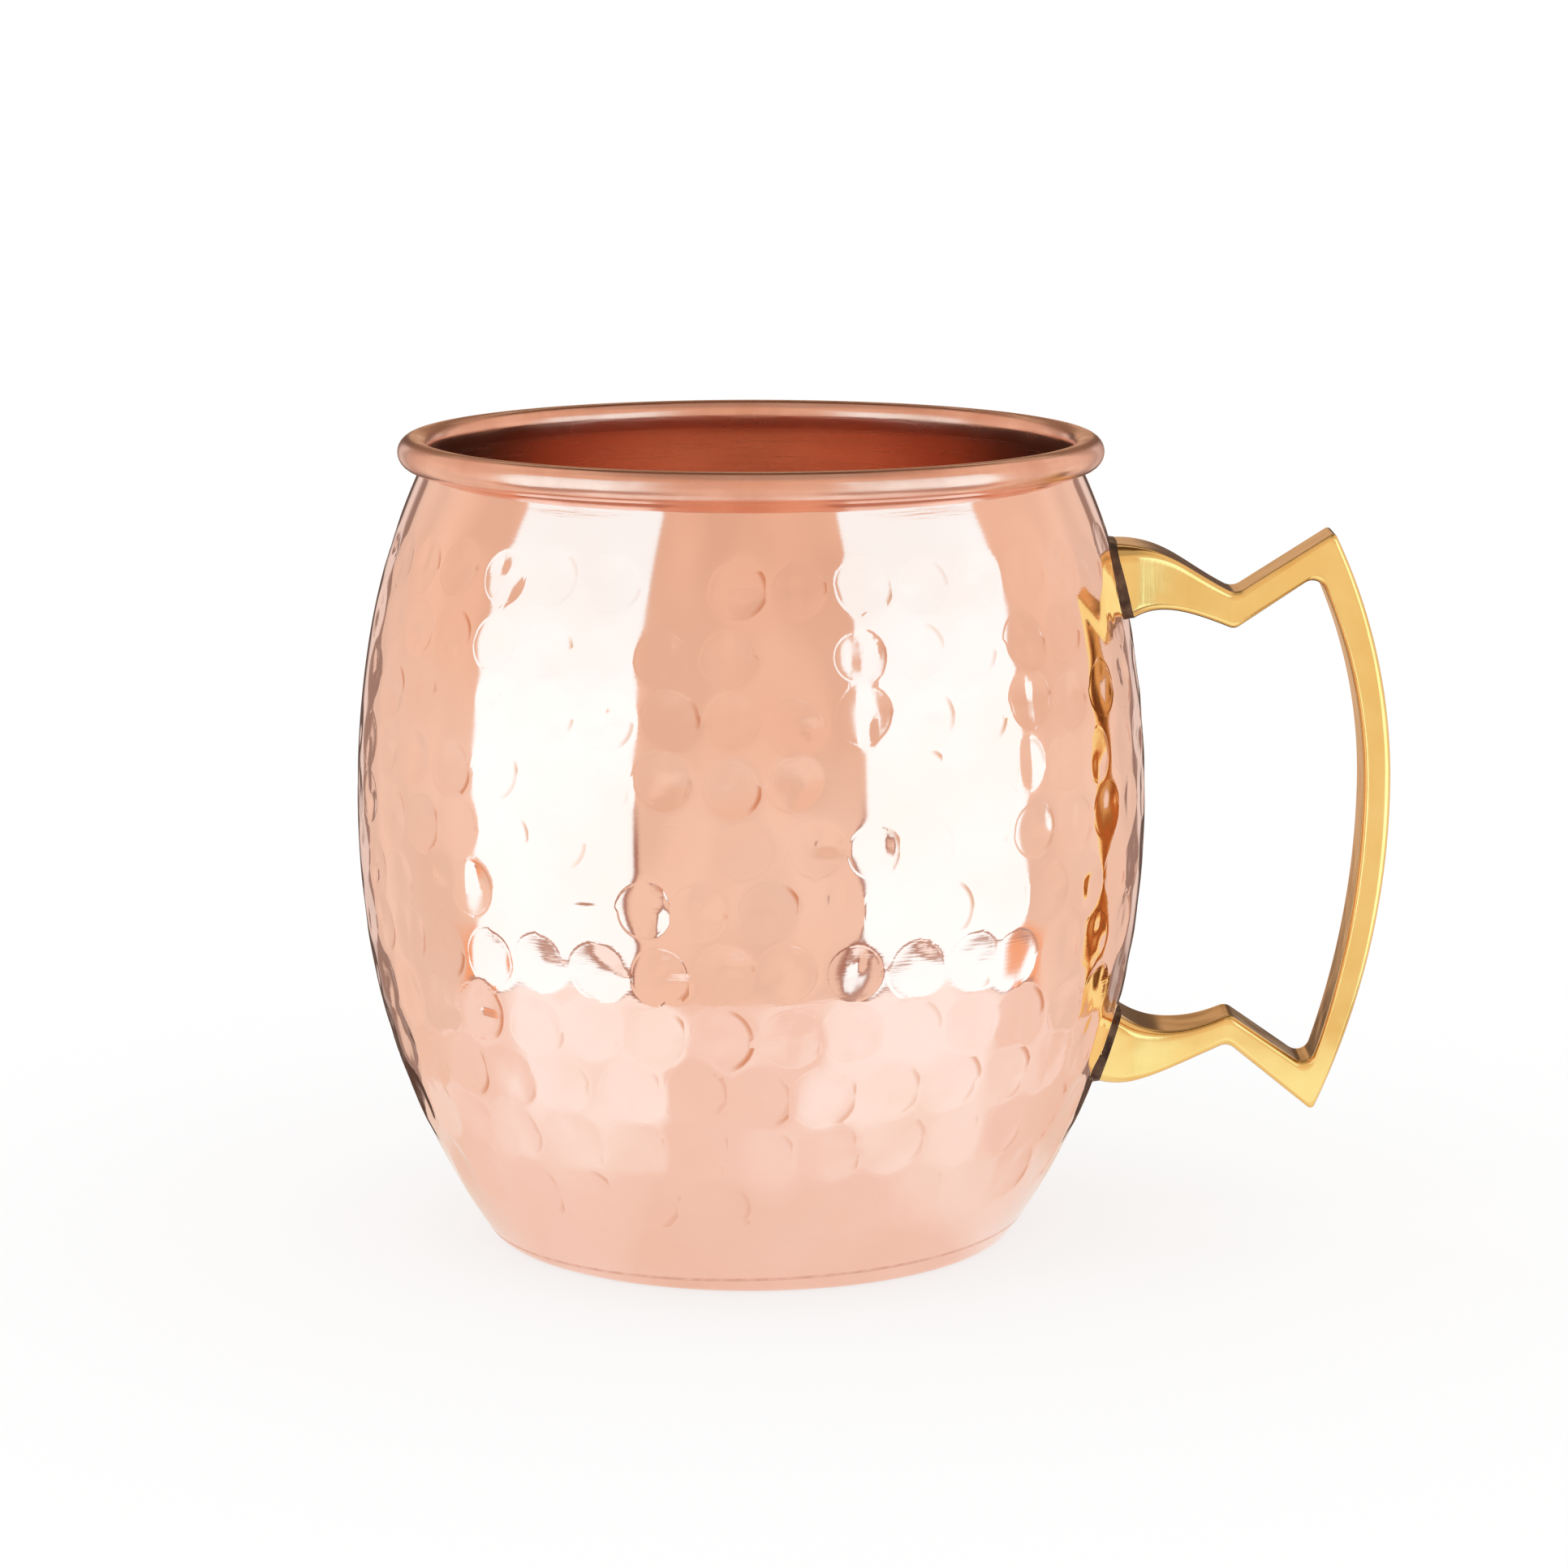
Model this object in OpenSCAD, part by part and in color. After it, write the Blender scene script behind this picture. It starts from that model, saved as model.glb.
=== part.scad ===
// Hammered copper mug with a cast brass handle. Millimetres, +Z up.
// The origin is the centre of the flat base, and the handle points along +X.

/* [Barrel] */
// Outside diameter at the widest point of the barrel
belly_d = 94; // [78:1:114]
// Height of the widest point above the table
belly_z = 52.4; // [43:0.1:63]
// Height of the centre of the rolled rim
rim_z = 94.25; // [82:0.25:114]
// Thickness of the copper sheet
wall = 0.8; // [0.5:0.05:1.1]
// Radius of the long curve across the belly
belly_curve_r = 118; // [100:0.5:140]
// How far below the widest point the foot curve takes over
foot_blend_drop = 13; // [8:0.1:20]
// Radius of the curve from the belly in to the foot
foot_curve_r = 83.5; // [70:0.5:98]
// Radius of the corner between the foot and the flat base
foot_corner_r = 2; // [1.5:0.1:2.4]
// How far above the widest point the neck curve takes over
neck_blend_rise = 19.6; // [16:0.1:26]
// Radius of the curve from the belly in to the neck
neck_curve_r = 79.5; // [66:0.5:90]

/* [Rolled rim] */
// Outside radius of the roll
rim_roll_r = 1.85; // [1.5:0.05:2.4]
// Radius of the hollow curve that turns the neck up into the roll
neck_flare_r = 6.5; // [5:0.1:8]
// Gap left between the rolled edge and the neck, as an angle of the roll
roll_open_angle = 10; // [4:1:30]

/* [Base seam] */
// Height of the brazed seam on the mug's axis
seam_z = 1.95; // [1.9:0.05:2.6]
// Slope of the hand-trimmed seam, up towards the handle
seam_tilt = 1.4; // [0:0.1:1.6]
// Width of the braze line along the wall
seam_w = 0.4; // [0.3:0.05:0.5]
// How far the braze stands proud of the sheet, inside and out
seam_proud = 0.06; // [0.02:0.01:0.12]

/* [Handle] */
// Distance from the belly to the outside of the handle's bar
bar_reach = 29.1; // [24:0.1:36]
// Thickness of the bar, seen from the side
bar_t = 3.25; // [2.6:0.05:4]
// Width of the handle across its bar
bar_w = 8; // [6:0.1:10]
// Width of each root where it meets the barrel
root_w = 12.5; // [10:0.1:16]
// Length over which a root flares from the bar's width
root_flare_l = 12; // [8:0.5:14]
// Distance of the upper root's middle below the rim's centre
upper_root_drop = 15.25; // [13:0.25:19]
// Height of the lower root's middle above the table
lower_root_z = 22.4; // [19:0.1:27]
// How far above the middle of the two roots the bar is furthest out
bar_bulge_up = 3.3; // [0:0.1:6]
// Radius inside the two inner corners of the grip
grip_corner_r = 1.6; // [1:0.1:2.5]
// Radius on the two outer tips of the grip
grip_tip_r = 0.5; // [0.3:0.1:1]

/* [Handle braze] */
// Thickness of braze between the barrel and each root
braze_t = 0.7; // [0.4:0.05:1]
// How far the braze spreads past the root all round
braze_lip = 0.5; // [0.2:0.05:0.8]

/* [Hidden] */
$fn = 96;

copper = [0.90, 0.56, 0.44];
brass = [0.86, 0.70, 0.32];
dark_braze = [0.36, 0.29, 0.25];

belly_r = belly_d / 2;

// The outside of the barrel is a chain of arcs that run smoothly into each other.
function on_circle(centre, radius, angle) = centre + radius * [cos(angle), sin(angle)];
function height_angle(centre, radius, height) = asin((height - centre[1]) / radius);
function reach_at(centre, radius, height) = centre[0] + sqrt(pow(radius, 2) - pow(height - centre[1], 2));
function reversed(list) = [for (i = [len(list) - 1 : -1 : 0]) list[i]];

// Points along an arc. It leaves out its last point, where the next arc starts.
function arc(centre, radius, from, to, steps) =
    [for (i = [0 : steps - 1]) on_circle(centre, radius, from + (to - from) * i / steps)];

belly_centre = [belly_r - belly_curve_r, belly_z];
foot_angle = -asin(foot_blend_drop / belly_curve_r);
neck_angle = asin(neck_blend_rise / belly_curve_r);
foot_centre = on_circle(belly_centre, belly_curve_r - foot_curve_r, foot_angle);
neck_centre = on_circle(belly_centre, belly_curve_r - neck_curve_r, neck_angle);

// The corner touches the table and the foot curve.
corner_x = reach_at(foot_centre, foot_curve_r - foot_corner_r, foot_corner_r);
corner_centre = [corner_x, foot_corner_r];
corner_angle = height_angle(foot_centre, foot_curve_r - foot_corner_r, foot_corner_r);

// The flare's centre is level with the rim's, so the sheet stands upright where the roll starts.
flare_centre = [reach_at(neck_centre, neck_curve_r + neck_flare_r, rim_z), rim_z];
flare_angle = height_angle(neck_centre, neck_curve_r + neck_flare_r, rim_z);
roll_centre = flare_centre - [neck_flare_r + wall - rim_roll_r, 0];

// The sheet rolls outwards, over and under, and stops just short of the neck.
roll_to_flare = flare_centre[0] - roll_centre[0];
roll_meets_neck = acos((pow(rim_roll_r, 2) + pow(roll_to_flare, 2) - pow(neck_flare_r, 2))
    / (2 * rim_roll_r * roll_to_flare));
roll_end = roll_open_angle - roll_meets_neck;

// The sheet in section: each curve runs along it, some distance in from its outside surface.
function foot_curve(into) = arc(foot_centre, foot_curve_r - into, corner_angle, foot_angle, 16);
function body_curve(into) = concat(
    foot_curve(into),
    arc(belly_centre, belly_curve_r - into, foot_angle, neck_angle, 14),
    arc(neck_centre, neck_curve_r - into, neck_angle, flare_angle, 10)
);
function rim_curve(into) = concat(
    arc(flare_centre, neck_flare_r + into, 180 + flare_angle, 180, 8),
    arc(roll_centre, rim_roll_r - wall + into, 180, roll_end, 36),
    [on_circle(roll_centre, rim_roll_r - wall + into, roll_end)]
);
function pan_curve(into) = concat(
    [[0, into]],
    arc(corner_centre, foot_corner_r - into, -90, corner_angle, 8),
    foot_curve(into)
);

// Outside radius of the barrel at a height between the foot corner and the flare.
function barrel_r(height) =
    height < belly_z - foot_blend_drop ? reach_at(foot_centre, foot_curve_r, height) :
    height > belly_z + neck_blend_rise ? reach_at(neck_centre, neck_curve_r, height) :
    reach_at(belly_centre, belly_curve_r, height);

// A slab that follows the tilted seam, from one distance above its middle to another.
module seam_slab(low, high) {
    span = 2 * belly_d;
    translate([0, 0, seam_z]) rotate([0, -seam_tilt, 0])
        translate([-span / 2, -span / 2, low]) cube([span, span, high - low]);
}

module barrel_wall() {
    color(copper) difference() {
        rotate_extrude() polygon(concat(
            body_curve(0), rim_curve(0), reversed(rim_curve(wall)), reversed(body_curve(wall))));
        seam_slab(-belly_r, seam_w / 2);
    }
}

module base_pan() {
    color(copper) difference() {
        rotate_extrude() polygon(concat(pan_curve(0), reversed(pan_curve(wall))));
        seam_slab(-seam_w / 2, 2 * rim_z);
    }
}

module base_seam() {
    color(dark_braze) intersection() {
        rotate_extrude() polygon(concat(foot_curve(-seam_proud), reversed(foot_curve(wall + seam_proud))));
        seam_slab(-seam_w / 2, seam_w / 2);
    }
}

// Handle, drawn in the XZ plane from the belly's radius and the heights of its two roots.
upper_z = rim_z - upper_root_drop;
lower_z = lower_root_z;
bar_z = (upper_z + lower_z) / 2 + bar_bulge_up;
function from_upper(across, up) = [belly_r + across, upper_z + up];
function from_lower(across, up) = [belly_r + across, lower_z + up];

// Each root starts this far inside the barrel's surface, and is then cut to fit the barrel.
root_depth = 5;
upper_root_half = 4.4;
lower_root_half = 4;

upper_valley = from_upper(10.4, -1.6);
upper_elbow = from_upper(10.2, -5.8);
upper_tip = from_upper(21.9, 5.75);
upper_corner = from_upper(20, 0.8);
lower_peak = from_lower(10.4, 4.1);
lower_elbow = from_lower(10.2, 0.6);
lower_tip = from_lower(20.5, -7.75);
lower_corner = from_lower(20, -2.6);

curve_steps = 14;
function bezier(p) = [for (i = [0 : curve_steps - 1]) let (t = i / curve_steps, u = 1 - t)
    u * u * u * p[0] + 3 * u * u * t * p[1] + 3 * u * t * t * p[2] + t * t * t * p[3]];
function unit(v) = v / norm(v);

// Rounds the corner at b, between lines from a and to c.
function round_corner(a, b, c, radius, steps = 8) =
    let (
        u = unit(a - b),
        v = unit(c - b),
        half = acos(u * v) / 2,
        centre = b + unit(u + v) * radius / sin(half),
        s = b + u * radius / tan(half) - centre,
        e = b + v * radius / tan(half) - centre,
        turn = 180 - 2 * half
    )
    [for (i = [0 : steps]) centre + (sin(turn * (1 - i / steps)) * s + sin(turn * i / steps) * e) / sin(turn)];

// An arc that is upright at x = out, z = bar_z and passes through an end point. It leaves out its end.
function bar_arc_r(out, end) = (pow(out - end[0], 2) + pow(end[1] - bar_z, 2)) / (2 * (out - end[0]));
function bar_arc(out, end) =
    let (
        radius = bar_arc_r(out, end),
        centre = [out - radius, bar_z],
        sweep = height_angle(centre, radius, end[1])
    )
    [for (i = [curve_steps - 1 : -1 : 0]) on_circle(centre, radius, sweep * i / curve_steps)];

bar_out = belly_r + bar_reach;
bar_in = bar_out - bar_t;
outer_up = bar_arc(bar_out, upper_tip);
outer_down = bar_arc(bar_out, lower_tip);
inner_up = bar_arc(bar_in, upper_corner);
inner_down = bar_arc(bar_in, lower_corner);

upper_root_top = upper_z + upper_root_half;
upper_root_bottom = upper_z - upper_root_half;
lower_root_top = lower_z + lower_root_half;
lower_root_bottom = lower_z - lower_root_half;

upper_top = bezier([[barrel_r(upper_root_top), upper_root_top], from_upper(2.4, 4.5),
    from_upper(4.4, 1.2), upper_valley]);
upper_under = bezier([[barrel_r(upper_root_bottom), upper_root_bottom], from_upper(1, -2.3),
    from_upper(4.5, -3.4), upper_elbow]);
lower_top = bezier([[barrel_r(lower_root_top), lower_root_top + 0.6], from_lower(0.5, 1.6),
    from_lower(5, 1.5), lower_peak]);
lower_under = bezier([[barrel_r(lower_root_bottom), lower_root_bottom + 0.4], from_lower(-2, -4.8),
    from_lower(2, -2.8), lower_elbow]);

function last(list) = list[len(list) - 1];
function inside_barrel(point) = point - [root_depth, 0];

handle_outline = concat(
    [inside_barrel(upper_top[0])],
    upper_top,
    round_corner(last(upper_top), upper_valley, upper_tip, 2),
    round_corner(upper_valley, upper_tip, outer_up[0], grip_tip_r),
    outer_up,
    reversed(outer_down),
    round_corner(outer_down[0], lower_tip, lower_elbow, grip_tip_r),
    round_corner(lower_tip, lower_elbow, last(lower_under), 1.6),
    reversed(lower_under),
    [inside_barrel(lower_under[0])],
    [inside_barrel(lower_top[0])],
    lower_top,
    round_corner(last(lower_top), lower_peak, lower_corner, 1.4),
    round_corner(lower_peak, lower_corner, inner_down[0], grip_corner_r),
    inner_down,
    reversed(inner_up),
    round_corner(inner_up[0], upper_corner, upper_elbow, grip_corner_r),
    round_corner(upper_corner, upper_elbow, last(upper_under), 1.2),
    reversed(upper_under),
    [inside_barrel(upper_under[0])]
);

// Half the handle's width: the bar's, opening out towards the barrel.
function half_width(along) = bar_w / 2 + (root_w - bar_w) / 2 * pow(1 - along, 2);
flare_start = belly_r - 2;
flare_points = [for (i = [0 : curve_steps]) [flare_start + root_flare_l * i / curve_steps,
    half_width(i / curve_steps)]];
plan_outline = concat(
    [[0, root_w / 2]],
    flare_points,
    [[bar_out + 1, bar_w / 2], [bar_out + 1, -bar_w / 2]],
    [for (p = reversed(flare_points)) [p[0], -p[1]]],
    [[0, -root_w / 2]]
);

module fitted_to_barrel(gap) {
    difference() {
        children();
        rotate_extrude() polygon(concat(body_curve(-gap), reversed(body_curve(2 * root_depth))));
    }
}

module handle() {
    color(brass) fitted_to_barrel(braze_t) intersection() {
        translate([0, root_w, 0]) rotate([90, 0, 0]) linear_extrude(2 * root_w) polygon(handle_outline);
        linear_extrude(2 * rim_z) polygon(plan_outline);
    }
}

// A block along X with rounded corners, that stands round one root.
module root_block(bottom, top) {
    wide = root_w + 2 * braze_lip;
    tall = top - bottom + 2 * braze_lip;
    corner = 1.5;
    translate([0, 0, (top + bottom) / 2]) rotate([90, 0, 90]) linear_extrude(belly_r + 5) {
        square([wide - 2 * corner, tall], center = true);
        square([wide, tall - 2 * corner], center = true);
        for (x = [-1, 1], y = [-1, 1])
            translate([x * (wide / 2 - corner), y * (tall / 2 - corner)]) circle(corner);
    }
}

module braze_pad(bottom, top) {
    color(dark_braze) intersection() {
        rotate_extrude() polygon(concat(body_curve(-braze_t), reversed(body_curve(0))));
        root_block(bottom, top);
    }
}
module upper_handle_braze() {
    braze_pad(upper_root_bottom, upper_root_top);
}
module lower_handle_braze() {
    braze_pad(lower_root_bottom, lower_root_top + 0.4);
}

barrel_wall();
base_pan();
base_seam();
handle();
upper_handle_braze();
lower_handle_braze();
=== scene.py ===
import math
from functools import partial

import bpy
import numpy as np
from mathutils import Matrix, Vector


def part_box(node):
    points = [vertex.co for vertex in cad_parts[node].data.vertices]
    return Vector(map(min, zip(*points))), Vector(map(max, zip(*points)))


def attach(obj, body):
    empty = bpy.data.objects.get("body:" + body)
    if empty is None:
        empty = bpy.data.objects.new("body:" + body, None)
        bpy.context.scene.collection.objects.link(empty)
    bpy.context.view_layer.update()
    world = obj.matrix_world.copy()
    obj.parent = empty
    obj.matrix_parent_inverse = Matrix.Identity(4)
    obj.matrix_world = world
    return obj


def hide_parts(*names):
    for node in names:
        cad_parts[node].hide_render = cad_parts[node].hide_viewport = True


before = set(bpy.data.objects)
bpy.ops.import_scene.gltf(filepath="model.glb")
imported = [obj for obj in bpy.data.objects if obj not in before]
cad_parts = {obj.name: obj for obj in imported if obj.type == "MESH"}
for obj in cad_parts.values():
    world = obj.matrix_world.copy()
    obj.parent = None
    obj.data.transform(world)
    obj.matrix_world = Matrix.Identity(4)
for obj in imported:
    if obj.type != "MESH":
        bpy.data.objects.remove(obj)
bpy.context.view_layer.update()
print("frame loaded")


# Small tools

def hexColour(code):
    parts = [int(code[i:i + 2], 16) / 255 for i in (1, 3, 5)]
    linear = [p / 12.92 if p <= 0.04045 else ((p + 0.055) / 1.055) ** 2.4 for p in parts]
    return (*linear, 1.0)


# One node with its settings, a shader node unless its kind says otherwise. An input is a value, an
# output, or a node, which stands for its first output.
def addNode(tree, kind, inputs=None, **settings):
    node = tree.nodes.new(kind if "Node" in kind else "ShaderNode" + kind)
    for name, value in settings.items():
        setattr(node, name, value)
    for key, value in (inputs or {}).items():
        feed(value, node.inputs[key])
    return node


def feed(value, socket):
    if isinstance(value, bpy.types.Node):
        value = next(output for output in value.outputs if output.enabled)
    if isinstance(value, bpy.types.NodeSocket):
        socket.id_data.links.new(value, socket)
    else:
        socket.default_value = value


# A colour ramp from stops, each a place along it and the colour there
def setStops(node, stops):
    elements = node.color_ramp.elements
    elements[0].position, elements[0].color = stops[0]
    elements[1].position, elements[1].color = stops[-1]
    for position, colour in stops[1:-1]:
        elements.new(position).color = colour


def newMaterial(name):
    material = bpy.data.materials.new(name)
    material.use_nodes = True
    material.node_tree.nodes.clear()
    return material, partial(addNode, material.node_tree)


# A mesh from rows of points in mm. A pole is the one point that closes an end of the rows.
def gridMesh(name, points, closedRows=False, firstPole=None, lastPole=None):
    rows, columns = points.shape[:2]
    number = np.arange(rows * columns).reshape(rows, columns)
    if closedRows:
        number = np.vstack([number, number[:1]])
    right = np.roll(number, -1, axis=1)
    faces = np.stack([number[:-1], right[:-1], right[1:], number[1:]], axis=-1)
    faces = faces.reshape(-1, 4).tolist()
    corners = points.reshape(-1, 3)
    for pole, row, first in ((firstPole, 0, True), (lastPole, rows - 1, False)):
        if pole is None:
            continue
        hub = len(corners)
        corners = np.vstack([corners, [pole]])
        for here, there in zip(number[row], right[row]):
            faces.append([there, here, hub] if first else [here, there, hub])
    mesh = bpy.data.meshes.new(name)
    mesh.from_pydata((corners * 0.001).tolist(), [], faces)
    mesh.validate()
    mesh.update()
    piece = bpy.data.objects.new(name, mesh)
    bpy.context.scene.collection.objects.link(piece)
    return piece


# The piece as its modifiers leave it, with the modifiers gone
def bakeModifiers(piece):
    evaluated = piece.evaluated_get(bpy.context.evaluated_depsgraph_get())
    mesh = bpy.data.meshes.new_from_object(evaluated)
    piece.modifiers.clear()
    piece.data = mesh


def finishPiece(piece, node, sharpAngle, material=None):
    if material:
        piece.data.materials.append(material)
    piece.data.shade_smooth()
    piece.data.set_sharp_from_angle(angle=math.radians(sharpAngle))
    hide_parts(node)
    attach(piece, "root")


# The barrel's outline, as in the part: a chain of arcs in mm that run smoothly into each other

barrel = {
    "bellyHeight": 52.4,
    "sheet": 0.8,
    "bellyCurve": 118.0,
    "footDrop": 13.0,
    "footCurve": 83.5,
    "footCorner": 2.0,
    "neckRise": 19.6,
    "neckCurve": 79.5,
    "rollRadius": 1.85,
    "flareCurve": 6.5,
    "rollGap": 10.0,
    "seamHeight": 1.95,
    "seamTilt": 1.4,
    "seamWidth": 0.4,
    "columns": 432,
    "outsidePitch": 0.68,
    "insidePitch": 2.1,
    "flareRows": 6,
    "rollHiddenRows": 6,
    "rollRows": 24,
    "flareInsideRows": 4,
}
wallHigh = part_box("barrel_wall")[1]
bellyReach = wallHigh.y * 1000
rimHeight = wallHigh.z * 1000 - barrel["rollRadius"]
sheet = barrel["sheet"]
turns = np.arange(barrel["columns"]) * 2 * math.pi / barrel["columns"]


def onCircle(centre, radius, angle):
    turn = math.radians(angle)
    return np.array([centre[0] + radius * math.cos(turn), centre[1] + radius * math.sin(turn)])


def heightAngle(centre, radius, height):
    return math.degrees(math.asin((height - centre[1]) / radius))


def reachAt(centre, radius, height):
    return centre[0] + np.sqrt(radius ** 2 - (height - centre[1]) ** 2)


bellyCentre = np.array([bellyReach - barrel["bellyCurve"], barrel["bellyHeight"]])
footAngle = -math.degrees(math.asin(barrel["footDrop"] / barrel["bellyCurve"]))
neckAngle = math.degrees(math.asin(barrel["neckRise"] / barrel["bellyCurve"]))
footCentre = onCircle(bellyCentre, barrel["bellyCurve"] - barrel["footCurve"], footAngle)
neckCentre = onCircle(bellyCentre, barrel["bellyCurve"] - barrel["neckCurve"], neckAngle)
cornerHeight = barrel["footCorner"]
cornerReach = reachAt(footCentre, barrel["footCurve"] - cornerHeight, cornerHeight)
cornerAngle = heightAngle(footCentre, barrel["footCurve"] - cornerHeight, cornerHeight)
cornerCentre = np.array([cornerReach, cornerHeight])
flareReach = reachAt(neckCentre, barrel["neckCurve"] + barrel["flareCurve"], rimHeight)
flareCentre = np.array([flareReach, rimHeight])
flareAngle = heightAngle(neckCentre, barrel["neckCurve"] + barrel["flareCurve"], rimHeight)
rollToFlare = barrel["flareCurve"] + sheet - barrel["rollRadius"]
rollCentre = flareCentre - [rollToFlare, 0]
rollMeetsNeck = math.degrees(math.acos(
    (barrel["rollRadius"] ** 2 + rollToFlare ** 2 - barrel["flareCurve"] ** 2)
    / (2 * barrel["rollRadius"] * rollToFlare)))
rollEnd = barrel["rollGap"] - rollMeetsNeck


def barrelReach(height, out=0.0):
    height = np.asarray(height, float)
    foot = reachAt(footCentre, barrel["footCurve"] + out, np.minimum(height, rimHeight))
    belly = reachAt(bellyCentre, barrel["bellyCurve"] + out, height)
    neck = reachAt(neckCentre, barrel["neckCurve"] + out, height)
    low = height < barrel["bellyHeight"] - barrel["footDrop"]
    high = height > barrel["bellyHeight"] + barrel["neckRise"]
    return np.where(low, foot, np.where(high, neck, belly))


# Rows along an arc, with one column for each angle round the mug. It leaves out its last row.
def sweepArc(centre, radius, start, stop, count):
    share = np.arange(count)[:, None] / count
    angle = np.radians(start + (stop - start) * share) * np.ones(len(turns))
    return np.stack([centre[0] + radius * np.cos(angle), centre[1] + radius * np.sin(angle)], axis=-1)


# The angle on the foot's arc where a surface meets the tilted seam, this far above its middle
def seamAngle(radius, above):
    slope = math.tan(math.radians(barrel["seamTilt"]))
    height = np.full(len(turns), barrel["seamHeight"])
    for _ in range(12):
        reach = reachAt(footCentre, radius, height)
        height = barrel["seamHeight"] + slope * reach * np.cos(turns) + above
    return np.degrees(np.arcsin((height - footCentre[1]) / radius))


def arcRows(radius, start, stop, pitch):
    return max(2, round(abs(math.radians(stop - start)) * radius / pitch))


# The sheet's body from the seam to the flare, at a depth below its outside surface
def bodyRows(into, pitch):
    foot = barrel["footCurve"] - into
    belly = barrel["bellyCurve"] - into
    neck = barrel["neckCurve"] - into
    low = seamAngle(foot, barrel["seamWidth"] / 2)
    return np.concatenate([
        sweepArc(footCentre, foot, low, footAngle, arcRows(foot, cornerAngle, footAngle, pitch)),
        sweepArc(bellyCentre, belly, footAngle, neckAngle, arcRows(belly, footAngle, neckAngle, pitch)),
        sweepArc(neckCentre, neck, neckAngle, flareAngle, arcRows(neck, neckAngle, flareAngle, pitch)),
    ])


def revolve(section):
    reach, height = section[..., 0], section[..., 1]
    return np.stack([reach * np.cos(turns), reach * np.sin(turns), height], axis=-1)


# Materials

plainMetal = {
    "cloudDetail": 4.0,
    "cloudRoughness": 0.5,
    "deepStop": 0.3,
    "paleStop": 0.7,
    "grain": "itself",
    "slant": 0.0,
    "bumpDepth": 0.0002,
    "polishBy": "clouds",
    "metallic": 1.0,
}
metals = {
    # Hammered, then buffed: a rose mirror with soft clouds of tone and faint buffing lines
    "hammeredCopper": {
        "cloud": 1000 / 18, "cloudDetail": 3.0, "cloudRoughness": 0.55, "deep": "#F5C7B3", "pale": "#F8CEBD",
        "grain": "brushed", "stretch": (1, 1, 14), "line": 100 / 0.35, "lineDetail": 2.0, "bump": 0.02,
        # The crescent colour is painted shade on the steep side of each mark
        "roughness": (0.05, 0.08), "crescentShade": "#D9906C", "crescentDull": 0.2, "lowCrescentShade": 0.34,
        "lip": 0.000012},
    # The bare inside, brushed round and round, so it glows softly and mirrors nothing sharply
    "brushedCopperInside": {
        "cloud": 60.0, "deep": "#F5C3AE", "pale": "#FBD3C0", "deepStop": 0.32, "paleStop": 0.68,
        "grain": "brushed", "stretch": (1, 1, 30), "line": 90.0, "lineDetail": 3.0, "bump": 0.012,
        "polishBy": "grain", "roughness": (0.204, 0.288)},
    # The rim is rolled after the barrel is buffed, so it keeps a satin skin and handling marks
    "satinCopperRim": {
        "cloud": 110.0, "cloudDetail": 5.0, "deep": "#E2A68E", "pale": "#F3C0AA", "paleStop": 0.62,
        "grain": "brushed", "stretch": (1, 1, 12), "line": 160.0, "lineDetail": 4.0, "bump": 0.12,
        "roughness": (0.3, 0.16)},
    # The pan is the same sheet left smooth, a little duller, with fine turned scratches
    "smoothCopper": {
        "cloud": 70.0, "cloudDetail": 3.0, "deep": "#F2C3AE", "pale": "#F8CEBD",
        "grain": "turned", "line": 1100.0, "lineDetail": 3.0, "bump": 0.12, "roughness": (0.11, 0.11)},
    # Silver-copper braze, filed nearly flush: a thin darker line with a slightly lumpy skin
    "filedSeamBraze": {
        "cloud": 700.0, "cloudDetail": 3.0, "deep": "#E2AF9A", "pale": "#F0C2AE", "deepStop": 0.35,
        "paleStop": 0.65, "bump": 0.1, "bumpDepth": 0.0001, "roughness": (0.38, 0.38)},
    # Sand-cast yellow brass, filed and buffed: golden and glossy, with slow ripples left by the wheel
    "buffedCastBrass": {
        "cloud": 140.0, "deep": "#F1C677", "pale": "#F8D489",
        "grain": "brushed", "stretch": (12, 12, 1), "slant": 0.5, "line": 100 / 0.4, "lineDetail": 2.0,
        "bump": 0.06, "bumpDepth": 0.0001, "roughness": (0.1, 0.17),
        "ripple": 1000 / 5.5, "rippleBump": 0.25, "rippleDepth": 0.0004},
    # Braze left as it froze: grey-brown oxide and flux stain, half dull and half glassy
    "oxidisedHandleBraze": {
        "cloud": 500.0, "deep": "#3A241A", "pale": "#6E5240", "deepStop": 0.34, "paleStop": 0.66,
        "bump": 0.5, "roughness": (0.5, 0.28), "metallic": 0.8},
}


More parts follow.
